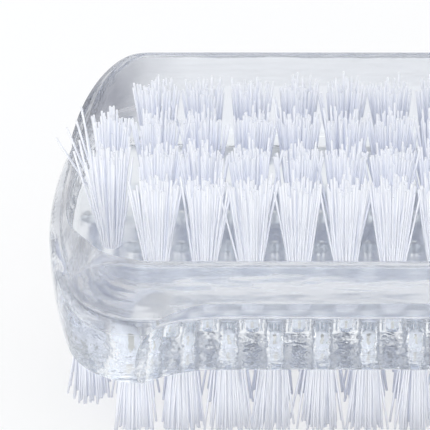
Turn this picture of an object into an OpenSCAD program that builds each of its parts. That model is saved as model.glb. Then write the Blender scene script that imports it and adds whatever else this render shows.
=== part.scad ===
// Two-sided nail brush. A clear moulded body carries folded filament tufts in
// drilled blind holes: four rows stand on top between two tall side walls that
// sweep down round the corners, and four rows, half a step aside, stand under
// the slab. A flat wire anchor in each hole holds its tuft down by the fold.
// The brush stands on its lower tufts, so z = 0 is their trimmed plane, +X runs
// along the brush and +Y across it.

/* [Body] */
// Length of the body over the widest line of its bowed ends
body_l = 88.5; // [88:0.5:110]
// Width of the body over the lips of its long sides
body_w = 40; // [38:0.5:50]
// Thickness of the slab between the upper and the lower bristle face
slab_t = 7; // [6.6:0.1:10]
// Height of the side walls' rim above the upper bristle face
rim_h = 9.3; // [7:0.1:12]
// Thickness of the walls near their rim
rim_t = 1; // [0.8:0.1:1.4]
// Rounding of the rim's top edges
rim_round = 0.35; // [0.2:0.05:0.45]
// How far the top of the rim stands in from the widest line at each end
rim_end_inset = 2; // [1.6:0.1:2.4]
// How far the top of the rim stands in from the lip at each long side
rim_side_inset = 0.5; // [0.2:0.1:1]
// Plan radius of the bowed ends at the widest line
bow_r = 50; // [45:1:80]
// Plan radius of the bowed ends at the top of the rim
rim_bow_r = 40; // [37:1:60]
// Plan radius of the four corners at the widest line
corner_r = 8; // [6:0.5:10]
// Plan radius of the four corners at the top of the rim
rim_corner_r = 6; // [5:0.5:7.5]

/* [Ends] */
// Distance from each end to where the rim starts to sweep down
sweep_start = 9.5; // [9:0.5:14]
// Distance from each end to where the sweep would stand upright
sweep_end = 1.3; // [1:0.1:2]
// Depth of that upright place below the upper bristle face
sweep_drop = 3.2; // [2:0.1:4]
// Height of the ledge at each end above the upper bristle face
ledge_h = 1.2; // [0.8:0.1:1.3]
// How far the ledge's edge stands in from the widest line
ledge_inset = 0.8; // [0.4:0.1:1.2]

/* [Base block] */
// Height of the overhanging lip above the upper bristle face
lip_z = 2.2; // [1.6:0.1:3]
// How far the block under the lip stands in on the long sides
lip_step = 0.45; // [0.2:0.05:0.8]
// Height of the lip's own underside slope
lip_t = 0.2; // [0.1:0.05:0.4]
// Depth of the widest line of the ends below the upper bristle face
bulge_drop = 1.3; // [0.8:0.1:2]
// Draw-in of the block from its widest line down to its underside
block_taper = 0.55; // [0.2:0.05:1]
// Rounding of the block's lower edge
foot_round = 0.4; // [0.2:0.1:1]

/* [Tray] */
// Distance from the widest line to the tray's floor at each end
floor_end_inset = 1.8; // [1.6:0.1:3]
// Distance from the lip to the tray's floor at each long side
floor_side_inset = 4.4; // [4:0.1:6]
// Plan radius of the bowed ends of the tray's floor
floor_bow_r = 43; // [38:1:60]
// Plan radius of the corners of the tray's floor
floor_corner_r = 6; // [5:0.5:8]
// Width of the fillet between the tray's floor and its wall
floor_fillet = 1.6; // [1:0.1:2]
// Plan radius of the corners of the tray's mouth
mouth_corner_r = 6; // [5:0.5:8]

/* [Finger grooves] */
// Radius of the scooped groove along each long side
groove_r = 15.4; // [13:0.1:22]
// Depth of the groove from the lip of the long side
groove_depth = 3.9; // [2:0.1:4.1]
// Drop of the groove's deepest line below the upper bristle face
groove_drop = 5.5; // [4.5:0.1:7]
// Distance from each end of the body to where the groove is full depth
groove_end = 18.4; // [14:0.2:26]

/* [Tuft holes] */
// Diameter of every tuft hole
hole_d = 2.3; // [2:0.05:2.45]
// Distance from one tuft to the next along a row
tuft_pitch = 5; // [5:0.02:5.1]
// Point angle of the drill that made the holes
drill_angle = 118; // [90:1:140]
// Depth of the upper holes to the drill's shoulder
upper_hole_h = 3.7; // [3:0.1:4.2]
// Depth of the lower holes to the drill's shoulder
lower_hole_h = 5.4; // [3.4:0.1:5.6]
// Distance from one upper row to the next
upper_row_pitch = 6; // [5.6:0.1:6.6]
// Distance from one lower row to the next
lower_row_pitch = 5.4; // [5:0.1:5.5]
// Tufts in each of the two inner upper rows
upper_inner_count = 16; // [12:1:16]
// Tufts in each of the two outer upper rows
upper_outer_count = 14; // [10:1:14]
// Tufts in each of the two inner lower rows
lower_inner_count = 17; // [13:1:17]
// Tufts in each of the two outer lower rows
lower_outer_count = 15; // [11:1:15]

/* [Tufts] */
// Height of the upper tufts above their bristle face
upper_tuft_h = 13.6; // [9:0.1:18]
// Height of the lower tufts below their bristle face
lower_tuft_h = 14.3; // [9:0.1:18]
// Length of an upper tuft's folded foot in its hole
upper_foot_h = 3.6; // [3:0.1:3.6]
// Length of a lower tuft's folded foot in its hole
lower_foot_h = 3; // [2.4:0.1:3.3]
// Radius of one modelled strand, corner to centre
strand_r = 0.3; // [0.2:0.02:0.3]
// Distance from a tuft's axis to its strands' tips, along the brush
strand_spread = 1.8; // [0.8:0.1:1.8]
// Distance from a tuft's axis to its strands' tips, across the brush
strand_depth = 1.2; // [0.8:0.1:1.8]
// Most that one strand's tip strays from that distance
strand_stray = 0.25; // [0:0.05:0.25]
// Depth that the flat trim takes off the lower strands
trim_cut = 0.5; // [0.3:0.1:0.8]

/* [Anchors] */
// Thickness of the flat anchor wire
anchor_t = 0.3; // [0.2:0.05:0.35]
// Height of the flat anchor wire
anchor_h = 1.5; // [1:0.1:1.8]
// Thickness of the fold that lies under the anchor
fold_t = 0.7; // [0.5:0.1:1]
// Clearance round each foot in its hole and round each anchor
seat_gap = 0.05; // [0.03:0.01:0.1]

/* [Hidden] */

// Heights of the brush, from the trimmed lower tips up
under_z = lower_tuft_h;
face_z = under_z + slab_t;
rim_z = face_z + rim_h;

// How far cutting shapes run past what they cut
overrun = 1;

// Points on half of a bowed end, on one corner, and on one sweep of the rim
bow_steps = 6;
corner_steps = 7;
sweep_steps = 10;

// Rows of one bristle face, from the near side to the far side
row_count = 4;

// Sides of a strand, and facets of what is drilled or scooped
strand_sides = 3;
hole_facets = 24;
groove_facets = 64;

// A foot is a square bundle that just fits its round hole, with a slot for the
// anchor between its two legs. It rises a little above the hole's mouth.
foot_half = (hole_d / 2 - seat_gap) / sqrt(2);
slot_half = anchor_t / 2 + seat_gap;
foot_proud = strand_r;

// Where the strands stand on the legs of an upper and of a lower tuft's foot
upper_strands = [[-1, -1], [1, -1], [-1, 1], [1, 1]];
lower_strands = [[-1, -1], [1, 0], [-1, 1]];
root_x = (slot_half + foot_half) / 2;
root_y = foot_half - strand_r - seat_gap;

// Degrees by which the stray along X and Y turns from one tuft to the next
stray_turns = [137, 101];

// Rings of the wall from the lip to the rim's top. Each row holds shares of
// the rim's height, of its end and side insets, and of the way from the
// widest line's plan radii to the rim's.
wall_shares = [
    [0.46, 0.40, 0.10, 0.00],
    [0.70, 0.64, 0.40, 0.50],
    [0.86, 0.84, 0.70, 0.80],
];

// Rings of the tray's wall between its floor and the rim's top, as shares of
// the rim's height and of the way from the floor's outline to the rim's.
tray_shares = [
    [0.10, 0.12],
    [0.46, 0.55],
    [0.75, 0.86],
];

function mix(from, to, share) = from + (to - from) * share;

// A quarter of a plan outline: half of a bowed end, then a corner that runs
// into the bow and into the long side without a kink.
function plan_quarter(half_l, half_w, bow, corner) =
    let (corner_y = half_w - corner,
         bow_x = half_l - bow,
         corner_x = bow_x + sqrt(pow(bow - corner, 2) - pow(corner_y, 2)),
         join = asin(corner_y / (bow - corner)))
    concat(
        [for (i = [0 : bow_steps])
            let (a = join * i / bow_steps)
            [bow_x + bow * cos(a), bow * sin(a)]],
        [for (i = [1 : corner_steps])
            let (a = mix(join, 90, i / corner_steps))
            [corner_x + corner * cos(a), corner_y + corner * sin(a)]]);

// A whole outline at one height, anticlockwise from the +X end.
function plan_ring(z, half_l, half_w, bow, corner) =
    let (q = plan_quarter(half_l, half_w, bow, corner), last = len(q) - 1)
    concat(
        [for (i = [0 : last]) [q[i].x, q[i].y, z]],
        [for (i = [last : -1 : 0]) [-q[i].x, q[i].y, z]],
        [for (i = [1 : last]) [-q[i].x, -q[i].y, z]],
        [for (i = [last : -1 : 1]) [q[i].x, -q[i].y, z]]);

// A ring of the body's outside, set in from its widest outline.
function body_ring(z, end_inset, side_inset, rim_share = 0) =
    plan_ring(z, body_l / 2 - end_inset, body_w / 2 - side_inset,
        mix(bow_r, rim_bow_r, rim_share), mix(corner_r, rim_corner_r, rim_share));

// A ring of the tray's inside, a share of the way from its floor to the rim.
function tray_ring(z, rim_share, grow = 0) =
    plan_ring(z,
        body_l / 2 - mix(floor_end_inset, rim_end_inset + rim_t, rim_share) + grow,
        body_w / 2 - mix(floor_side_inset, rim_side_inset + rim_t, rim_share) + grow,
        mix(floor_bow_r, rim_bow_r - rim_t, rim_share),
        mix(floor_corner_r, mouth_corner_r, rim_share) + grow);

// A solid skinned over rings of the same number of points.
module loft(rings) {
    n = len(rings[0]);
    top = len(rings) - 1;
    polyhedron(
        points = [for (ring = rings) each ring],
        faces = concat(
            [[for (i = [0 : n - 1]) i]],
            [for (r = [0 : top - 1], i = [0 : n - 1])
                let (a = r * n + i, b = r * n + (i + 1) % n)
                each [[a, a + n, b + n], [a, b + n, b]]],
            [[for (i = [n - 1 : -1 : 0]) top * n + i]]));
}

// Everything above a height, as large as the body.
module above(z) {
    translate([-body_l, -body_w, z])
        cube([2 * body_l, 2 * body_w, slab_t + rim_h + 2 * overrun]);
}

// The body's outer form: the tapered block, its lip, and the flared wall.
module body_outside() {
    bulge_z = face_z - bulge_drop;
    ledge_z = face_z + ledge_h;
    step_z = face_z + lip_z;
    bulge_side = lip_step + rim_round / 2;
    lip_end = mix(0, rim_end_inset, 1 / 5);
    intersection() {
        loft(concat(
            [body_ring(under_z - overrun, block_taper + foot_round, bulge_side + block_taper + foot_round),
             body_ring(under_z, block_taper + foot_round, bulge_side + block_taper + foot_round),
             body_ring(under_z + foot_round / 3, block_taper + foot_round / 3,
                bulge_side + block_taper + foot_round / 3),
             body_ring(under_z + foot_round, block_taper, bulge_side + block_taper),
             body_ring(mix(under_z, bulge_z, 1 / 2), block_taper / 3, bulge_side + block_taper / 2),
             body_ring(bulge_z, 0, bulge_side),
             body_ring(mix(bulge_z, ledge_z, 1 / 2), ledge_inset / 8, bulge_side),
             body_ring(mix(bulge_z, ledge_z, 4 / 5), ledge_inset / 2, bulge_side),
             body_ring(ledge_z, ledge_inset, bulge_side),
             body_ring(step_z - lip_t, ledge_inset, bulge_side),
             body_ring(step_z, lip_end, 0)],
            [for (s = wall_shares)
                body_ring(face_z + rim_h * s[0], rim_end_inset * s[1], rim_side_inset * s[2], s[3])],
            [body_ring(rim_z - rim_round, rim_end_inset, rim_side_inset, 1),
             body_ring(rim_z, rim_end_inset + rim_round, rim_side_inset + rim_round, 1)]));
        above(under_z);
    }
}

// The space of the tray, from its flat floor up past the rim.
module tray_space() {
    fillet_share = tray_shares[0][1];
    intersection() {
        loft(concat(
            [tray_ring(face_z - overrun, 0, -floor_fillet),
             tray_ring(face_z, 0, -floor_fillet),
             tray_ring(face_z + floor_fillet / 4, 0, -floor_fillet / 4)],
            [for (s = tray_shares) tray_ring(face_z + rim_h * s[0], s[1])],
            [tray_ring(rim_z - rim_round, 1),
             tray_ring(rim_z, 1, rim_round),
             tray_ring(rim_z + overrun, 1, rim_round)]));
        above(face_z);
    }
}

// The space over one end that lets the side walls sweep down to the ledge. Its
// lower side is part of an ellipse that leaves the rim's top level.
module end_sweep() {
    middle_x = body_l / 2 - sweep_start;
    reach_x = sweep_start - sweep_end;
    reach_z = rim_h + sweep_drop;
    ledge_angle = asin((ledge_h + sweep_drop) / reach_z);
    rotate([90, 0, 0])
        linear_extrude(2 * body_w, center = true)
            polygon(concat(
                [for (i = [0 : sweep_steps])
                    let (a = mix(90, ledge_angle, i / sweep_steps))
                    [middle_x + reach_x * cos(a), face_z - sweep_drop + reach_z * sin(a)]],
                [[body_l, face_z + ledge_h],
                 [body_l, rim_z + overrun],
                 [middle_x, rim_z + overrun]]));
}

// The scooped finger groove of one long side, with rounded run-outs.
module groove(side) {
    half = body_l / 2 - groove_end;
    axis_y = body_w / 2 - groove_depth + groove_r;
    translate([0, side * axis_y, face_z - groove_drop]) {
        rotate([0, 90, 0])
            cylinder(r = groove_r, h = 2 * half, center = true, $fn = groove_facets);
        for (end = [-1, 1])
            translate([end * half, 0, 0])
                sphere(r = groove_r, $fn = groove_facets);
    }
}

// Where the tufts of a row stand, by face and by row from 0.
function is_outer(row) = row == 0 || row == row_count - 1;
function upper_count(row) = is_outer(row) ? upper_outer_count : upper_inner_count;
function lower_count(row) = is_outer(row) ? lower_outer_count : lower_inner_count;
function places(count, y) = [for (i = [0 : count - 1]) [(i - (count - 1) / 2) * tuft_pitch, y]];
function upper_places(row) = places(upper_count(row), (row - (row_count - 1) / 2) * upper_row_pitch);
function lower_places(row) = places(lower_count(row), (row - (row_count - 1) / 2) * lower_row_pitch);

// A drilled blind hole whose mouth is at the origin and whose point is below.
module tuft_hole(depth) {
    point_h = hole_d / 2 / tan(drill_angle / 2);
    translate([0, 0, -depth])
        cylinder(d = hole_d, h = depth + overrun, $fn = hole_facets);
    translate([0, 0, -depth - point_h])
        cylinder(d1 = 0, d2 = hole_d, h = point_h, $fn = hole_facets);
}

// The clear moulded body: block, side walls, finger grooves and tuft holes.
module body() {
    color([0.86, 0.90, 0.95, 0.45])
    difference() {
        body_outside();
        tray_space();
        end_sweep();
        mirror([1, 0, 0])
            end_sweep();
        for (side = [-1, 1])
            groove(side);
        for (row = [0 : row_count - 1]) {
            for (p = upper_places(row))
                translate([p.x, p.y, face_z])
                    tuft_hole(upper_hole_h);
            for (p = lower_places(row))
                translate([p.x, p.y, under_z])
                    mirror([0, 0, 1])
                        tuft_hole(lower_hole_h);
        }
    }
}

// One strand of a tuft, from inside its foot to its tip. side is its side of
// the tuft along X and Y, and turn sets how it strays.
module strand(side, h, turn) {
    reach_x = strand_spread + strand_stray * sin(turn * stray_turns[0]);
    reach_y = strand_depth + strand_stray * cos(turn * stray_turns[1]);
    rise = h - foot_proud;
    lean_x = atan((reach_x - root_x) / rise);
    lean_y = atan((reach_y - root_y) / rise);
    translate([side.x * root_x, side.y * root_y, foot_proud])
        rotate([-side.y * lean_y, side.x * lean_x, 0])
            translate([0, 0, -foot_proud / 2])
                cylinder(r = strand_r, h = rise + foot_proud / 2, $fn = strand_sides);
}

// One tuft with the mouth of its hole at the origin: a foot folded round its
// anchor's slot, and the strands that stand out of the two legs of the fold.
module tuft(foot_h, h, strands, index) {
    difference() {
        translate([-foot_half, -foot_half, -foot_h])
            cube([2 * foot_half, 2 * foot_half, foot_h + foot_proud]);
        translate([-slot_half, -hole_d / 2, fold_t - foot_h])
            cube([2 * slot_half, hole_d, foot_h + foot_proud]);
    }
    for (i = [0 : len(strands) - 1])
        strand(strands[i], h, index + i / len(strands));
}

// One flat wire anchor in the slot of its tuft, on top of the fold. It lies
// across the row, so that the two legs of the tuft part along the row.
module anchor(foot_h) {
    wire_l = 2 * sqrt(pow(hole_d / 2, 2) - pow(anchor_t / 2, 2)) - 2 * seat_gap;
    translate([-anchor_t / 2, -wire_l / 2, fold_t - foot_h])
        cube([anchor_t, wire_l, anchor_h]);
}

// One row of tufts in the tray.
module upper_tuft_row(row) {
    color([0.95, 0.96, 0.99])
    for (i = [0 : upper_count(row) - 1])
        translate([upper_places(row)[i].x, upper_places(row)[i].y, face_z])
            tuft(upper_foot_h, upper_tuft_h, upper_strands, row * upper_count(row) + i);
}

// One row of tufts under the slab, cut flat where the brush stands.
module lower_tuft_row(row) {
    color([0.92, 0.93, 0.97])
    intersection() {
        for (i = [0 : lower_count(row) - 1])
            translate([lower_places(row)[i].x, lower_places(row)[i].y, under_z])
                mirror([0, 0, 1])
                    tuft(lower_foot_h, lower_tuft_h + trim_cut, lower_strands,
                        row * lower_count(row) + i);
        above(0);
    }
}

// The anchors of one upper row, a group of separate wires.
module upper_anchor_row(row) {
    color([0.80, 0.78, 0.70])
    for (p = upper_places(row))
        translate([p.x, p.y, face_z])
            anchor(upper_foot_h);
}

// The anchors of one lower row, a group of separate wires.
module lower_anchor_row(row) {
    color([0.80, 0.78, 0.70])
    for (p = lower_places(row))
        translate([p.x, p.y, under_z])
            mirror([0, 0, 1])
                anchor(lower_foot_h);
}

body();
upper_tuft_row(0);  // upper_tuft_row_1
upper_tuft_row(1);  // upper_tuft_row_2
upper_tuft_row(2);  // upper_tuft_row_3
upper_tuft_row(3);  // upper_tuft_row_4
lower_tuft_row(0);  // lower_tuft_row_1
lower_tuft_row(1);  // lower_tuft_row_2
lower_tuft_row(2);  // lower_tuft_row_3
lower_tuft_row(3);  // lower_tuft_row_4
upper_anchor_row(0);  // upper_anchor_row_1
upper_anchor_row(1);  // upper_anchor_row_2
upper_anchor_row(2);  // upper_anchor_row_3
upper_anchor_row(3);  // upper_anchor_row_4
lower_anchor_row(0);  // lower_anchor_row_1
lower_anchor_row(1);  // lower_anchor_row_2
lower_anchor_row(2);  // lower_anchor_row_3
lower_anchor_row(3);  // lower_anchor_row_4
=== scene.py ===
import math
import random

import bmesh
import bpy
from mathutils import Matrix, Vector


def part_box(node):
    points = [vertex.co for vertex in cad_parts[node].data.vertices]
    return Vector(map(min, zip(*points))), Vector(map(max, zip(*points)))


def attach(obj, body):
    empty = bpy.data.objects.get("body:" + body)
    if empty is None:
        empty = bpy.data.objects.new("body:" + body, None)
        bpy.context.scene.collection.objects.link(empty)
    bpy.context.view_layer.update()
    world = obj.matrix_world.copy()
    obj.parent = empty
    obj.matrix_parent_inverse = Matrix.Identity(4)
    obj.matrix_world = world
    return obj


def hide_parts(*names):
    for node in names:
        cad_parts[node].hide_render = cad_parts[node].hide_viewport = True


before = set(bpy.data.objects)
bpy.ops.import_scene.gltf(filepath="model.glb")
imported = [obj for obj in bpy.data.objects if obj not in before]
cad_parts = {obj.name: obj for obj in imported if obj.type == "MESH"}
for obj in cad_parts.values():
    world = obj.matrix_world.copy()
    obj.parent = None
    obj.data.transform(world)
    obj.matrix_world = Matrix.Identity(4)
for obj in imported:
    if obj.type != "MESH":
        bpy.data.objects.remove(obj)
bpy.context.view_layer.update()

# The clear body. It is one thick injection moulding of clear plastic: a block
# with bowed ends and a scooped finger groove along each side, two side walls
# that sweep down to a low ledge at each end, and a blind hole for each tuft.
MM = 0.001
BLOCK_H = 7.0
LEDGE_H = 1.2
body_low, body_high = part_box("body")
half_l = body_high.x / MM
half_w = body_high.y / MM
under_z = body_low.z / MM
rim_z = body_high.z / MM
face_z = under_z + BLOCK_H
rim_h = rim_z - face_z
ledge_z = face_z + LEDGE_H


def mix(a, b, share):
    return a + (b - a) * share


def plan(half_length, half_width, bow_r, corner_r):
    """The outline at one height: bowed ends, round corners and straight sides."""
    bow_steps, corner_steps, side_steps = 26, 24, 14
    corner_y = half_width - corner_r
    bow_x = half_length - bow_r
    corner_x = bow_x + math.sqrt((bow_r - corner_r) ** 2 - corner_y**2)
    join = math.asin(corner_y / (bow_r - corner_r))
    quarter = []
    for i in range(bow_steps + 1):
        a = join * i / bow_steps
        quarter.append((bow_x + bow_r * math.cos(a), bow_r * math.sin(a)))
    for i in range(1, corner_steps + 1):
        a = mix(join, math.pi / 2, i / corner_steps)
        quarter.append((corner_x + corner_r * math.cos(a), corner_y + corner_r * math.sin(a)))
    for i in range(1, side_steps + 1):
        quarter.append((mix(corner_x, 0, i / side_steps), half_width))
    left = [(-x, y) for x, y in quarter[-2::-1]]
    upper = quarter + left
    lower = [(x, -y) for x, y in upper[-2:0:-1]]
    return upper + lower


BLOCK_BOW_R, RIM_BOW_R = 50, 40
BLOCK_CORNER_R, RIM_CORNER_R = 8, 6


def outside_ring(z, end_inset, side_inset, rim_share):
    """The outline of the outside at one height, from the block to the rim."""
    bow_r = mix(BLOCK_BOW_R, RIM_BOW_R, rim_share)
    corner_r = mix(BLOCK_CORNER_R, RIM_CORNER_R, rim_share)
    return [(x, y, z) for x, y in plan(half_l - end_inset, half_w - side_inset, bow_r, corner_r)]


FLOOR_END_WALL, RIM_END_WALL = 1.8, 3.0
FLOOR_SIDE_WALL, RIM_SIDE_WALL = 4.4, 1.5
TRAY_FLOOR_BOW_R, TRAY_RIM_BOW_R = 43, 39
TRAY_CORNER_R = 6


def tray_ring(z, rim_share, grow=0.0):
    """The outline of the tray at one height, from its floor to the rim. A grow below
    zero draws it in, for the rounding along the floor."""
    length = half_l - mix(FLOOR_END_WALL, RIM_END_WALL, rim_share) + grow
    width = half_w - mix(FLOOR_SIDE_WALL, RIM_SIDE_WALL, rim_share) + grow
    bow_r = mix(TRAY_FLOOR_BOW_R, TRAY_RIM_BOW_R, rim_share)
    return [(x, y, z) for x, y in plan(length, width, bow_r, TRAY_CORNER_R + grow)]


def smooth_rows(rows, steps):
    """Rows of numbers with more rows between them, on a curve through them all."""
    out = []
    for i in range(len(rows) - 1):
        before = rows[max(i - 1, 0)]
        after = rows[min(i + 2, len(rows) - 1)]
        for k in range(steps):
            t = k / steps
            row = []
            for p0, p1, p2, p3 in zip(before, rows[i], rows[i + 1], after):
                bend = (2 * p0 - 5 * p1 + 4 * p2 - p3) * t * t
                twist = (3 * p1 - p0 - 3 * p2 + p3) * t**3
                row.append((2 * p1 + (p2 - p0) * t + bend + twist) / 2)
            out.append(row)
    out.append(list(rows[-1]))
    return out


def add_mesh(name, points, faces):
    mesh = bpy.data.meshes.new(name)
    mesh.from_pydata([(x * MM, y * MM, z * MM) for x, y, z in points], [], faces)
    mesh.update()
    piece = bpy.data.objects.new(name, mesh)
    bpy.context.scene.collection.objects.link(piece)
    return piece


def point_at(rings, i, z):
    """Where outline point i lies at a height between two of the rings."""
    for low, high in zip(rings, rings[1:]):
        if z <= high[i][2]:
            t = (z - low[i][2]) / (high[i][2] - low[i][2])
            return [mix(a, b, t) for a, b in zip(low[i], high[i])]
    return list(rings[-1][i])


SWEEP_FROM_END, SWEEP_TO_END = 9.5, 1.3
SWEEP_DROP = 3.2


def sweep_z(x):
    """The height of the rim at one place along the brush: level, then down a quarter
    of an oval whose middle lies under the tray's floor, then level on the ledge."""
    over = (abs(x) - half_l + SWEEP_FROM_END) / (SWEEP_FROM_END - SWEEP_TO_END)
    if over <= 0:
        return rim_z
    low = face_z - SWEEP_DROP
    return max(low + (rim_z - low) * math.sqrt(max(0, 1 - over**2)), ledge_z)


CLIMB_STEP = 0.2
HALVINGS = 14


def top_of(rings, i):
    """Where outline point i, on its way up, first meets the swept rim."""
    low = high = ledge_z
    while high < rim_z and high < sweep_z(point_at(rings, i, high)[0]):
        low, high = high, min(high + CLIMB_STEP, rim_z)
    for _ in range(HALVINGS if high > ledge_z else 0):
        middle = (low + high) / 2
        if middle < sweep_z(point_at(rings, i, middle)[0]):
            low = middle
        else:
            high = middle
    return high


def quarter_turn(steps):
    """Angles from nothing to a right angle."""
    return [math.pi / 2 * k / steps for k in range(steps + 1)]


ROUND_STEPS = 5
SAME_POINT = 0.002


def walled_block(name, outside, inside, rounding):
    """The closed skin up the outside, over the swept rim and down the inside."""
    columns = []
    turns = quarter_turn(ROUND_STEPS)
    for i in range(len(outside[0])):
        outer_top, inner_top = top_of(outside, i), top_of(inside, i)
        column = []
        for ring in outside:
            z = min(ring[i][2], outer_top - rounding)
            column.append(point_at(outside, i, z))
        a, b = Vector(column[-1][:2]), Vector(point_at(inside, i, inner_top)[:2])
        inward = (b - a).normalized() * rounding
        for turn in turns[1:]:
            x, y, z = point_at(outside, i, outer_top - rounding * (1 - math.sin(turn)))
            back = 1 - math.cos(turn)
            column.append([x + inward.x * back, y + inward.y * back, z])
        for turn in turns[:0:-1]:
            x, y, z = point_at(inside, i, inner_top - rounding * (1 - math.sin(turn)))
            back = 1 - math.cos(turn)
            column.append([x - inward.x * back, y - inward.y * back, z])
        for ring in inside[::-1]:
            z = min(ring[i][2], inner_top - rounding)
            column.append(point_at(inside, i, z))
        columns.append(column)
    high = len(columns[0])
    faces = [[i * high for i in range(len(columns))][::-1],
             [i * high + high - 1 for i in range(len(columns))]]
    for i in range(len(columns)):
        a, b = i * high, (i + 1) % len(columns) * high
        faces += [[a + k, b + k, b + k + 1, a + k + 1] for k in range(high - 1)]
    piece = add_mesh(name, [p for column in columns for p in column], faces)
    skin = bmesh.new()
    skin.from_mesh(piece.data)
    bmesh.ops.remove_doubles(skin, verts=skin.verts, dist=SAME_POINT * MM)
    skin.to_mesh(piece.data)
    skin.free()
    return piece


def spin(name, profile, segments, places):
    """Solids of revolution about Z, one at each place (x, y, z, up or down)."""
    points, faces = [], []
    for px, py, pz, way in places:
        first = len(points)
        for r, h in profile:
            if r == 0:
                points.append((px, py, pz + way * h))
                continue
            for i in range(segments):
                a = 2 * math.pi * i / segments
                points.append((px + r * math.cos(a), py + way * r * math.sin(a), pz + way * h))
        at, rings = first, []
        for r, h in profile:
            count = 1 if r == 0 else segments
            rings.append(list(range(at, at + count)))
            at += count
        for a, b in zip(rings, rings[1:]):
            for i in range(segments):
                j = (i + 1) % segments
                if len(a) == 1:
                    faces.append([a[0], b[j], b[i]])
                elif len(b) == 1:
                    faces.append([a[i], a[j], b[0]])
                else:
                    faces.append([a[i], a[j], b[j], b[i]])
        if len(rings[-1]) > 1:
            faces.append(rings[-1])
    return add_mesh(name, points, faces)


def cut(piece, cutters):
    """Takes the cutters' space out of the piece and deletes them."""
    for cutter in cutters:
        step = piece.modifiers.new("cut", "BOOLEAN")
        step.operation = "DIFFERENCE"
        step.solver = "EXACT"
        step.object = cutter
    ready = piece.evaluated_get(bpy.context.evaluated_depsgraph_get())
    mesh = bpy.data.meshes.new_from_object(ready)
    piece.modifiers.clear()
    piece.data = mesh
    for cutter in cutters:
        bpy.data.objects.remove(cutter)


# The rows of the outside from the underside up. Each says how high it is, how
# far its ends and sides lie inside the box, and how near to the rim's plan it is.
FOOT_R = 0.4
FOOT_INSET = 0.55
SIDE_INSET = 0.625
foot = []
for a in quarter_turn(ROUND_STEPS):
    back = FOOT_INSET + FOOT_R * (1 - math.sin(a))
    foot.append((under_z + FOOT_R * (1 - math.cos(a)), back, SIDE_INSET + back, 0))
BULGE_BELOW_FACE = 1.3
bulge_z = face_z - BULGE_BELOW_FACE
block = smooth_rows([
    (under_z + FOOT_R, FOOT_INSET, SIDE_INSET + FOOT_INSET, 0),
    (mix(under_z, bulge_z, 0.5), 0.18, 0.9, 0),
    (bulge_z, 0, SIDE_INSET, 0),
    (mix(bulge_z, ledge_z, 0.5), 0.1, SIDE_INSET, 0),
    (mix(bulge_z, ledge_z, 0.8), 0.4, SIDE_INSET, 0),
    (ledge_z, 0.8, SIDE_INSET, 0)], 6)
neck = [(face_z + 2.0, 0.8, SIDE_INSET, 0)]
wall = smooth_rows([
    (face_z + 2.2, 0.4, 0, 0),
    (face_z + rim_h * 0.46, 0.8, 0.05, 0),
    (face_z + rim_h * 0.70, 1.28, 0.2, 0.5),
    (face_z + rim_h * 0.86, 1.68, 0.35, 0.8),
    (rim_z, 2.0, 0.5, 1)], 7)
outside = [outside_ring(*row) for row in foot + block[1:] + neck + wall]

# The rows of the tray from its floor up, each with its height and how near to
# the rim's plan it is.
FLOOR_ROUND_R = 1.6
FILLET_STEPS = 7
FILLET_SHARE = 0.12
fillet_h = rim_h * 0.1
floor_fillet = []
for i, a in enumerate(quarter_turn(FILLET_STEPS)[:-1]):
    z = face_z + fillet_h * (1 - math.cos(a))
    drawn_in = FLOOR_ROUND_R * (1 - math.sin(a))
    floor_fillet.append((z, FILLET_SHARE * i / FILLET_STEPS, -drawn_in))
tray_wall = smooth_rows([
    (face_z + fillet_h, FILLET_SHARE),
    (face_z + rim_h * 0.46, 0.55),
    (face_z + rim_h * 0.75, 0.86),
    (rim_z, 1)], 6)
inside = [tray_ring(*row) for row in floor_fillet + tray_wall]
RIM_ROUND_R = 0.35
body = walled_block("clear_body", outside, inside, RIM_ROUND_R)

# A groove is cut by a round bar with ball ends that lies along the side.
GROOVE_R = 15.4
GROOVE_DEPTH = 3.9
GROOVE_BELOW_FACE = 5.5
GROOVE_FROM_END = 18.4
GROOVE_SIDES = 144
groove_half = half_l - GROOVE_FROM_END
groove_profile = []
for a in quarter_turn(24):
    groove_profile.append((GROOVE_R * math.sin(a), -groove_half - GROOVE_R * math.cos(a)))
groove_profile += [(r, -h) for r, h in groove_profile[::-1]]
grooves = []
for side in (-1, 1):
    groove = spin("groove", groove_profile, GROOVE_SIDES, [(0, 0, 0, 1)])
    axis_y = side * (half_w - GROOVE_DEPTH + GROOVE_R) * MM
    groove.rotation_euler = (0, math.pi / 2, 0)
    groove.location = (0, axis_y, (face_z - GROOVE_BELOW_FACE) * MM)
    grooves.append(groove)

# The holes go in from both faces, the lower ones half a pitch aside of the upper.
HOLE_R = 1.15
TUFT_PITCH = 5.0
UPPER_ROW_PITCH, LOWER_ROW_PITCH = 6.0, 5.4
UPPER_HOLE_H, LOWER_HOLE_H = 3.7, 5.4
DRILL_POINT_DEG = 118
DRILL_POINT_H = HOLE_R / math.tan(math.radians(DRILL_POINT_DEG / 2))
HOLE_SIDES = 32


def row_places(counts, row_pitch):
    """Where the tufts of each row stand, from the near row to the far one."""
    rows = []
    for row, count in enumerate(counts):
        y = (row - 1.5) * row_pitch
        rows.append([((i - (count - 1) / 2) * TUFT_PITCH, y) for i in range(count)])
    return rows


upper_rows = row_places((14, 16, 16, 14), UPPER_ROW_PITCH)
lower_rows = row_places((15, 17, 17, 15), LOWER_ROW_PITCH)


def drill(name, rows, depth, mouth_z, way):
    """The holes of all rows as one cutter, with a drilled point and some height over the face."""
    profile = [(0, -depth - DRILL_POINT_H), (HOLE_R, -depth), (HOLE_R, 0.5)]
    return spin(name, profile, HOLE_SIDES, [(x, y, mouth_z, way) for row in rows for x, y in row])


def new_material(name):
    """A material, its nodes and its main shader."""
    material = bpy.data.materials.new(name)
    material.use_nodes = True
    nodes = material.node_tree.nodes
    return material, nodes, nodes["Principled BSDF"]


def join_nodes(material, pairs):
    for output, socket in pairs:
        material.node_tree.links.new(output, socket)


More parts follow.
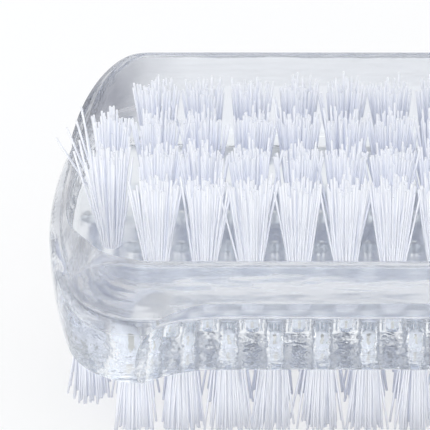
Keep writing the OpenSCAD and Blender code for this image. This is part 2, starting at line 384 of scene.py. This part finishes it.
def noise(nodes, scale, detail):
    node = nodes.new("ShaderNodeTexNoise")
    node.inputs["Scale"].default_value = scale
    node.inputs["Detail"].default_value = detail
    return node


def two_colours(nodes, first, second):
    node = nodes.new("ShaderNodeValToRGB")
    node.color_ramp.elements[0].color = (*first, 1)
    node.color_ramp.elements[1].color = (*second, 1)
    return node


def open_shader(nodes):
    """Lets a ray go straight on, with the faint blue of a thin piece."""
    node = nodes.new("ShaderNodeBsdfTransparent")
    node.inputs["Color"].default_value = (0.98, 0.985, 1.0, 1)
    return node


def map_range(nodes, low, high, to_low, to_high):
    node = nodes.new("ShaderNodeMapRange")
    node.inputs["From Min"].default_value = low
    node.inputs["From Max"].default_value = high
    node.inputs["To Min"].default_value = to_low
    node.inputs["To Max"].default_value = to_high
    return node


def maths(nodes, operation, *values):
    """A Math node. A value of None leaves its socket for a link."""
    node = nodes.new("ShaderNodeMath")
    node.operation = operation
    for socket, value in zip(node.inputs, values):
        if value is not None:
            socket.default_value = value
    return node


ON_FLOOR_WITHIN = 0.04


def clear_material(name, haze_low, haze_high, ripple, ripple_h):
    """Clear plastic, nearly colourless with a faint blue in the block and greyer in the walls,
    where the grey is a painted shade for the darker surroundings seen through them; painted shade
    in dark blotches at the ends of the walls; a haze and ripples. Lamps shine through it on what
    is behind."""
    material, nodes, shader = new_material(name)
    shader.inputs["Transmission Weight"].default_value = 1
    shader.inputs["IOR"].default_value = 1.49
    place = nodes.new("ShaderNodeTexCoord")
    height = nodes.new("ShaderNodeSeparateXYZ")
    # The plastic's own faint blue, and in the walls a grey that is painted shade for the darker
    # surroundings seen through them.
    blue_and_wall_shade = two_colours(nodes, (0.938, 0.968, 1.0), (0.85, 0.872, 0.912))
    # Painted shade: a noise of dark blotches darkens the colour on the curved ends of the walls,
    # towards the dark grey below.
    from_middle = maths(nodes, "ABSOLUTE")
    shaded_end_share = map_range(nodes, (half_l - 15) * MM, (half_l - 6) * MM, 0, 1)
    shade_blotch_noise = noise(nodes, 130, 3)
    shade_blotch_range = map_range(nodes, 0.35, 0.65, 0.25, 1)
    end_shade_blotches = maths(nodes, "MULTIPLY")
    wall_shade_blotches = maths(nodes, "MULTIPLY")
    # The dark grey of the painted shade at the wall ends.
    painted_end_shade = nodes.new("ShaderNodeMix")
    painted_end_shade.data_type = "RGBA"
    painted_end_shade.inputs[7].default_value = (0.34, 0.35, 0.40, 1)
    wall_share = map_range(nodes, (face_z - 0.6) * MM, (face_z + 1.5) * MM, 0, 1)
    tray_floor = maths(nodes, "COMPARE", None, face_z * MM, ON_FLOOR_WITHIN * MM)
    floor_haze = maths(nodes, "MULTIPLY_ADD", None, 0.22, None)
    wall_haze = maths(nodes, "MULTIPLY_ADD", None, 0.12, None)
    haze = noise(nodes, 420, 3)
    haze_range = map_range(nodes, 0.35, 0.75, haze_low, haze_high)
    along = nodes.new("ShaderNodeMapping")
    along.inputs["Scale"].default_value = (0.3, 1.0, 1.0)
    flow = noise(nodes, ripple, 2)
    speck = noise(nodes, 1000, 2)
    block_share = map_range(nodes, (face_z - 2.2) * MM, (face_z - 1.2) * MM, 0.3, 0)
    specked = maths(nodes, "MULTIPLY_ADD")
    swell = nodes.new("ShaderNodeBump")
    swell.inputs["Strength"].default_value = 0.5
    swell.inputs["Distance"].default_value = ripple_h
    lamp_ray = nodes.new("ShaderNodeLightPath")
    open_way = open_shader(nodes)
    lamp_mix = nodes.new("ShaderNodeMixShader")
    join_nodes(material, [
        (place.outputs["Object"], height.inputs["Vector"]),
        (height.outputs["Z"], wall_share.inputs["Value"]),
        (wall_share.outputs["Result"], blue_and_wall_shade.inputs["Fac"]),
        (height.outputs["X"], from_middle.inputs[0]),
        (from_middle.outputs["Value"], shaded_end_share.inputs["Value"]),
        (place.outputs["Object"], shade_blotch_noise.inputs["Vector"]),
        (shade_blotch_noise.outputs["Fac"], shade_blotch_range.inputs["Value"]),
        (shaded_end_share.outputs["Result"], end_shade_blotches.inputs[0]),
        (shade_blotch_range.outputs["Result"], end_shade_blotches.inputs[1]),
        (end_shade_blotches.outputs["Value"], wall_shade_blotches.inputs[0]),
        (wall_share.outputs["Result"], wall_shade_blotches.inputs[1]),
        (wall_shade_blotches.outputs["Value"], painted_end_shade.inputs[0]),
        (blue_and_wall_shade.outputs["Color"], painted_end_shade.inputs[6]),
        (painted_end_shade.outputs[2], shader.inputs["Base Color"]),
        (place.outputs["Object"], haze.inputs["Vector"]),
        (haze.outputs["Fac"], haze_range.inputs["Value"]),
        (height.outputs["Z"], tray_floor.inputs[0]),
        (tray_floor.outputs["Value"], floor_haze.inputs[0]),
        (haze_range.outputs["Result"], floor_haze.inputs[2]),
        (wall_share.outputs["Result"], wall_haze.inputs[0]),
        (floor_haze.outputs["Value"], wall_haze.inputs[2]),
        (wall_haze.outputs["Value"], shader.inputs["Roughness"]),
        (place.outputs["Object"], along.inputs["Vector"]),
        (along.outputs["Vector"], flow.inputs["Vector"]),
        (place.outputs["Object"], speck.inputs["Vector"]),
        (height.outputs["Z"], block_share.inputs["Value"]),
        (speck.outputs["Fac"], specked.inputs[0]),
        (block_share.outputs["Result"], specked.inputs[1]),
        (flow.outputs["Fac"], specked.inputs[2]),
        (specked.outputs["Value"], swell.inputs["Height"]),
        (swell.outputs["Normal"], shader.inputs["Normal"]),
        (lamp_ray.outputs["Is Shadow Ray"], lamp_mix.inputs["Fac"]),
        (shader.outputs[0], lamp_mix.inputs[1]),
        (open_way.outputs[0], lamp_mix.inputs[2]),
        (lamp_mix.outputs[0], nodes["Material Output"].inputs["Surface"])])
    return material


clear_plastic = clear_material("clear_plastic", 0.02, 0.06, 420, 0.0004)
drilled_plastic = clear_material("drilled_plastic", 0.03, 0.1, 1400, 0.0002)
body.data.materials.append(clear_plastic)
body.data.materials.append(drilled_plastic)
upper_holes = drill("upper_holes", upper_rows, UPPER_HOLE_H, face_z, 1)
lower_holes = drill("lower_holes", lower_rows, LOWER_HOLE_H, under_z, -1)
for holes in (upper_holes, lower_holes):
    holes.data.materials.append(clear_plastic)
    holes.data.materials.append(drilled_plastic)
    for face in holes.data.polygons:
        face.material_index = 1
bpy.context.view_layer.update()
cut(body, [*grooves, upper_holes, lower_holes])
body.data.shade_smooth()
body.data.set_sharp_from_angle(angle=math.radians(32))
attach(body, "root")
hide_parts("body")

# The upper tufts. Each is a bundle of straight nylon filaments folded in half
# round its anchor in the hole, so it stands out of the tray's floor in two
# legs that spread into a loose brush, trimmed to one height with a few strays.
FILAMENT_R = 0.13
FILAMENT_SIDES = 5
UPPER_FOOT_H, LOWER_FOOT_H = 3.6, 3.0
FOLD_T = 0.7
LEG_ROWS = 5
LEG_OUT, LEG_STEP, LEG_PITCH = 0.93, 0.165, 0.235
LEG_IN, FAN_FROM, FAN_W = 0.27, 0.22, 0.71
SIDE_STRAY_SHARE, TALL_SHARE = 0.11, 0.12
LAST_TUFTS_X = 37
chance = random.Random(7)

# Strays that lean out over the end walls, by row: how far out, how far across
# and how high each one ends, from its own tuft's hole.
END_STRAYS = {
    3.0: [(5.8, -3.9, 12.3), (4.7, -2.7, 12.8), (3.2, 0.4, 13.3)],
    -3.0: [(3.3, 0.5, 13.2), (2.6, 1.8, 13.4)]}


def leg_places():
    """Where the filaments of one leg stand in the hole, from the outermost in."""
    places = []
    reach = HOLE_R - 0.02 - FILAMENT_R
    for k in range(LEG_ROWS):
        x = LEG_OUT - LEG_STEP * k
        half = math.sqrt(reach**2 - x**2)
        count = int(2 * half / LEG_PITCH) + 1
        for i in range(count):
            places.append((x, (i - (count - 1) / 2) * LEG_PITCH))
    return places


def leg_tip(x, y, height, lean, spread):
    """Where one leg ends: fanned out from its root, now and then well astray."""
    reach = (abs(x) - FAN_FROM) / FAN_W * spread[0] + chance.gauss(0, 0.24)
    if chance.random() < SIDE_STRAY_SHARE:
        reach += chance.uniform(0.4, 1.5)
    if chance.random() < TALL_SHARE:
        height += chance.uniform(0.4, 1.6)
    height += chance.gauss(0, 0.42)
    across = y * spread[1] + chance.gauss(0, 0.26)
    return (math.copysign(reach, x) + lean[0], across + lean[1], height)


def stalk(x, y, tip):
    """The points of one leg of a filament, from its tip down to its hole's mouth,
    where the two legs have closed up over the anchor."""
    root = math.copysign((abs(x) - LEG_IN) * 1.4 + 0.03, x)
    sag = math.copysign(chance.gauss(0, 0.05), x)
    points = []
    for share in (1.0, 0.68, 0.36, 0.0):
        curve = sag * 4 * share * (1 - share)
        points.append((mix(root, tip[0], share) + curve, mix(y, tip[1], share), tip[2] * share))
    return points


def filament_path(x, y, tips, foot_h):
    """One folded filament: tip, leg, fold under the anchor, leg, tip. The fold of an
    outer filament dips lower than that of an inner one."""
    anchor_z = FOLD_T - foot_h
    dip = 0.12 + 0.42 * x
    path = stalk(x, y, tips[0])
    for i in range(3):
        a = math.pi * i / 2
        path.append((x * math.cos(a), y, anchor_z - dip * math.sin(a)))
    path += stalk(-x, y, tips[1])[::-1]
    return path


def tube(path, radius, sides, points, faces, trace):
    """Adds a thin closed tube along the path. trace keeps each point's shade and its
    place along the tube."""
    first = len(points)
    count = len(path)
    shade = chance.random()
    for k, p in enumerate(path):
        here = Vector(p)
        along = Vector(path[min(k + 1, count - 1)]) - Vector(path[max(k - 1, 0)])
        across = along.cross(Vector((0, 1, 0))).normalized()
        other = along.cross(across).normalized()
        for i in range(sides):
            a = 2 * math.pi * i / sides
            points.append(tuple(here + radius * (across * math.cos(a) + other * math.sin(a))))
            trace.append((shade, k / (count - 1)))
    for k in range(count - 1):
        for i in range(sides):
            j = (i + 1) % sides
            a, b = first + k * sides, first + (k + 1) * sides
            faces.append([a + i, a + j, b + j, b + i])
    faces.append([first + i for i in range(sides)][::-1])
    faces.append([first + (count - 1) * sides + i for i in range(sides)])


def tuft_row(name, places, mouth_z, way, foot_h, height, top, spread, strays):
    """All tufts of one row as one piece. way is 1 for up and -1 for down. spread is how
    far the legs fan out along the row and across it."""
    points, faces, trace = [], [], []
    for px, py in places:
        lean = (chance.gauss(0, 0.12), chance.gauss(0, 0.1))
        end = px if abs(px) > LAST_TUFTS_X else 0
        astray = list(strays.get(py, [])) if end else []
        for x, y in leg_places():
            tips = [leg_tip(x, y, height, lean, spread), leg_tip(-x, y, height, lean, spread)]
            if astray:
                out, over, high = astray.pop()
                tips[0 if end > 0 else 1] = (math.copysign(out, end), over, high)
            tips = [(qx, qy, min(qz, top)) for qx, qy, qz in tips]
            path = filament_path(x, y, tips, foot_h)
            path = [(px + qx, py + qy, mouth_z + way * qz) for qx, qy, qz in path]
            tube(path, FILAMENT_R, FILAMENT_SIDES, points, faces, trace)
    piece = add_mesh(name, points, faces)
    layer = piece.data.uv_layers.new(name="filament")
    for loop in piece.data.loops:
        layer.data[loop.index].uv = trace[loop.vertex_index]
    piece.data.shade_smooth()
    piece.data.materials.append(nylon)
    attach(piece, "root")
    return piece


# Nylon scatters light and passes it on, so most light from lamps and from the
# plastic around goes through a filament to those behind it.
LIGHT_THROUGH_NYLON = 0.97
nylon, nodes, shader = new_material("nylon_filament")
shader.inputs["Roughness"].default_value = 0.42
shader.inputs["IOR"].default_value = 1.53
shader.inputs["Subsurface Weight"].default_value = 0.4
shader.inputs["Subsurface Radius"].default_value = (1.0, 1.0, 1.0)
shader.inputs["Subsurface Scale"].default_value = 0.0002
place = nodes.new("ShaderNodeUVMap")
place.uv_map = "filament"
tone = noise(nodes, 9, 2)
tone_ramp = two_colours(nodes, (0.848, 0.858, 0.903), (0.87, 0.88, 0.92))
tone_ramp.color_ramp.elements[0].position = 0.3
tone_ramp.color_ramp.elements[1].position = 0.7
ray_kind = nodes.new("ShaderNodeLightPath")
open_way = open_shader(nodes)
soak = nodes.new("ShaderNodeMixShader")
soak.inputs["Fac"].default_value = LIGHT_THROUGH_NYLON
for_bounces = nodes.new("ShaderNodeMixShader")
for_lamps = nodes.new("ShaderNodeMixShader")
join_nodes(nylon, [
    (shader.outputs[0], soak.inputs[1]),
    (open_way.outputs[0], soak.inputs[2]),
    (ray_kind.outputs["Is Diffuse Ray"], for_bounces.inputs["Fac"]),
    (shader.outputs[0], for_bounces.inputs[1]),
    (soak.outputs[0], for_bounces.inputs[2]),
    (ray_kind.outputs["Is Shadow Ray"], for_lamps.inputs["Fac"]),
    (for_bounces.outputs[0], for_lamps.inputs[1]),
    (soak.outputs[0], for_lamps.inputs[2]),
    (for_lamps.outputs[0], nodes["Material Output"].inputs["Surface"]),
    (place.outputs["UV"], tone.inputs["Vector"]),
    (tone.outputs["Fac"], tone_ramp.inputs["Fac"]),
    (tone_ramp.outputs["Color"], shader.inputs["Base Color"])])

UPPER_TIP_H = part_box("upper_tuft_row_1")[1].z / MM - face_z - 0.05
DENSE_TOP_BELOW = 1.75
for row, places in enumerate(upper_rows):
    name = f"upper_tuft_row_{row + 1}"
    piece = tuft_row(f"upper_filaments_{row + 1}", places, face_z, 1, UPPER_FOOT_H,
                     UPPER_TIP_H - DENSE_TOP_BELOW, UPPER_TIP_H, (2.0, 1.3), END_STRAYS)
    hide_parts(name)

# The lower tufts. They are of the same nylon, longer and less spread, and stand
# out of the flat underside. The brush rests on their trimmed tips.
LOWER_TIP_H = under_z - 0.02
LOWER_DENSE_BELOW, TRIM = 0.3, 0.005
for row, places in enumerate(lower_rows):
    name = f"lower_tuft_row_{row + 1}"
    piece = tuft_row(f"lower_filaments_{row + 1}", places, under_z, -1, LOWER_FOOT_H,
                     LOWER_TIP_H - LOWER_DENSE_BELOW, LOWER_TIP_H - TRIM, (1.7, 1.3), {})
    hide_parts(name)

# The anchors. Each is a short length of flat nickel-silver wire, driven across
# its hole on the fold of the tuft, so that its ends hold in the plastic.
wire, nodes, shader = new_material("anchor_wire")
shader.inputs["Metallic"].default_value = 1
place = nodes.new("ShaderNodeTexCoord")
drawn = noise(nodes, 900, 2)
wire_ramp = two_colours(nodes, (0.45, 0.44, 0.42), (0.72, 0.70, 0.66))
wire_rough = map_range(nodes, 0, 1, 0.25, 0.5)
join_nodes(wire, [
    (place.outputs["Object"], drawn.inputs["Vector"]),
    (drawn.outputs["Fac"], wire_ramp.inputs["Fac"]),
    (wire_ramp.outputs["Color"], shader.inputs["Base Color"]),
    (drawn.outputs["Fac"], wire_rough.inputs["Value"]),
    (wire_rough.outputs["Result"], shader.inputs["Roughness"])])
for row in range(1, 5):
    for face in ("upper", "lower"):
        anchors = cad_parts[f"{face}_anchor_row_{row}"]
        anchors.data.materials.clear()
        anchors.data.materials.append(wire)

# The floor. It is a plain white sheet under the brush, out to where the
# camera sees only background.
FLOOR_REACH = 2000
SHEET_WHITE_SHARE = 0.7
floor = add_mesh("floor", [(x, y, 0) for x, y in (
    (-FLOOR_REACH, -FLOOR_REACH), (FLOOR_REACH, -FLOOR_REACH),
    (FLOOR_REACH, FLOOR_REACH), (-FLOOR_REACH, FLOOR_REACH))], [[0, 1, 2, 3]])


def looked_at(nodes):
    """1 where the camera, a reflection or clear plastic looks, and 0 for other rays."""
    ray = nodes.new("ShaderNodeLightPath")
    camera_or_glossy = maths(nodes, "MAXIMUM")
    any_look = maths(nodes, "MAXIMUM")
    pairs = [
        (ray.outputs["Is Camera Ray"], camera_or_glossy.inputs[0]),
        (ray.outputs["Is Glossy Ray"], camera_or_glossy.inputs[1]),
        (camera_or_glossy.outputs[0], any_look.inputs[0]),
        (ray.outputs["Is Transmission Ray"], any_look.inputs[1])]
    return any_look.outputs[0], pairs


paper, nodes, shader = new_material("paper")
shader.inputs["Base Color"].default_value = (0.97, 0.97, 0.97, 1)
shader.inputs["Roughness"].default_value = 0.9
white_sheet = nodes.new("ShaderNodeEmission")
sheet_look, look_pairs = looked_at(nodes)
sheet_share = maths(nodes, "MULTIPLY", None, SHEET_WHITE_SHARE)
sheet_mix = nodes.new("ShaderNodeMixShader")
join_nodes(paper, look_pairs + [
    (sheet_look, sheet_share.inputs[0]),
    (sheet_share.outputs[0], sheet_mix.inputs["Fac"]),
    (shader.outputs[0], sheet_mix.inputs[1]),
    (white_sheet.outputs[0], sheet_mix.inputs[2]),
    (sheet_mix.outputs[0], nodes["Material Output"].inputs["Surface"])])
floor.data.materials.append(paper)

# The light. A soft lamp stands in front, low and a little to the left, a weak
# one overhead, and the world is plain white wherever the camera, a reflection
# or clear plastic looks at it.
world = bpy.data.worlds.new("studio")
bpy.context.scene.world = world
world.use_nodes = True
nodes = world.node_tree.nodes
sky = nodes["Background"]
sky.inputs["Color"].default_value = (0.95, 0.97, 1.0, 1)
sky.inputs["Strength"].default_value = 1.0
white = nodes.new("ShaderNodeBackground")
white.inputs["Color"].default_value = (1, 1, 1, 1)
white.inputs["Strength"].default_value = 1
world_look, look_pairs = looked_at(nodes)
choose = nodes.new("ShaderNodeMixShader")
join_nodes(world, look_pairs + [
    (world_look, choose.inputs["Fac"]),
    (sky.outputs[0], choose.inputs[1]),
    (white.outputs[0], choose.inputs[2]),
    (choose.outputs[0], nodes["World Output"].inputs["Surface"])])


def soft_lamp(name, spot, target, size, power):
    lamp = bpy.data.lights.new(name, "AREA")
    lamp.shape = "RECTANGLE"
    lamp.size, lamp.size_y = size
    lamp.energy = power
    holder = bpy.data.objects.new(name, lamp)
    holder.location = spot
    holder.rotation_euler = (Vector(target) - Vector(spot)).to_track_quat("-Z", "Y").to_euler()
    bpy.context.scene.collection.objects.link(holder)


soft_lamp("overhead", (0.25, 0.05, 0.9), (0, 0, 0.02), (0.8, 0.6), 0.3)
soft_lamp("front_fill", (-0.2, -0.9, 0.2), (0, 0, 0.02), (0.9, 0.35), 2.85)

# The camera. It looks along the brush's width, down at its left half, with a
# long lens from seventy centimetres.
ELEVATION = 36.5
DISTANCE = 0.70
SENSOR_WIDTH = 36
PHOTO_WIDTH = 430
LENS_PIXELS_PER_MM = 9.26
AIM = Vector((-26.4, 2.23, 21.13)) * MM
camera_data = bpy.data.cameras.new("camera")
camera_data.sensor_width = SENSOR_WIDTH
camera_data.lens = SENSOR_WIDTH * LENS_PIXELS_PER_MM * (DISTANCE / MM) / PHOTO_WIDTH
camera_data.clip_start, camera_data.clip_end = 0.01, 10
camera = bpy.data.objects.new("camera", camera_data)
bpy.context.scene.collection.objects.link(camera)
tilt = math.radians(ELEVATION)
camera.location = AIM + DISTANCE * Vector((0, -math.cos(tilt), math.sin(tilt)))
camera.rotation_euler = (math.pi / 2 - tilt, 0, 0)
bpy.context.scene.camera = camera
bpy.context.scene.view_settings.view_transform = "Standard"

# Light goes through many faces of the clear body and to and fro between the
# filaments, so it may bounce more often here than Blender lets it by default.
bounces = bpy.context.scene.cycles
bounces.max_bounces = 48
bounces.diffuse_bounces = 16
bounces.transmission_bounces = 40
bounces.glossy_bounces = 32
bounces.transparent_max_bounces = 24
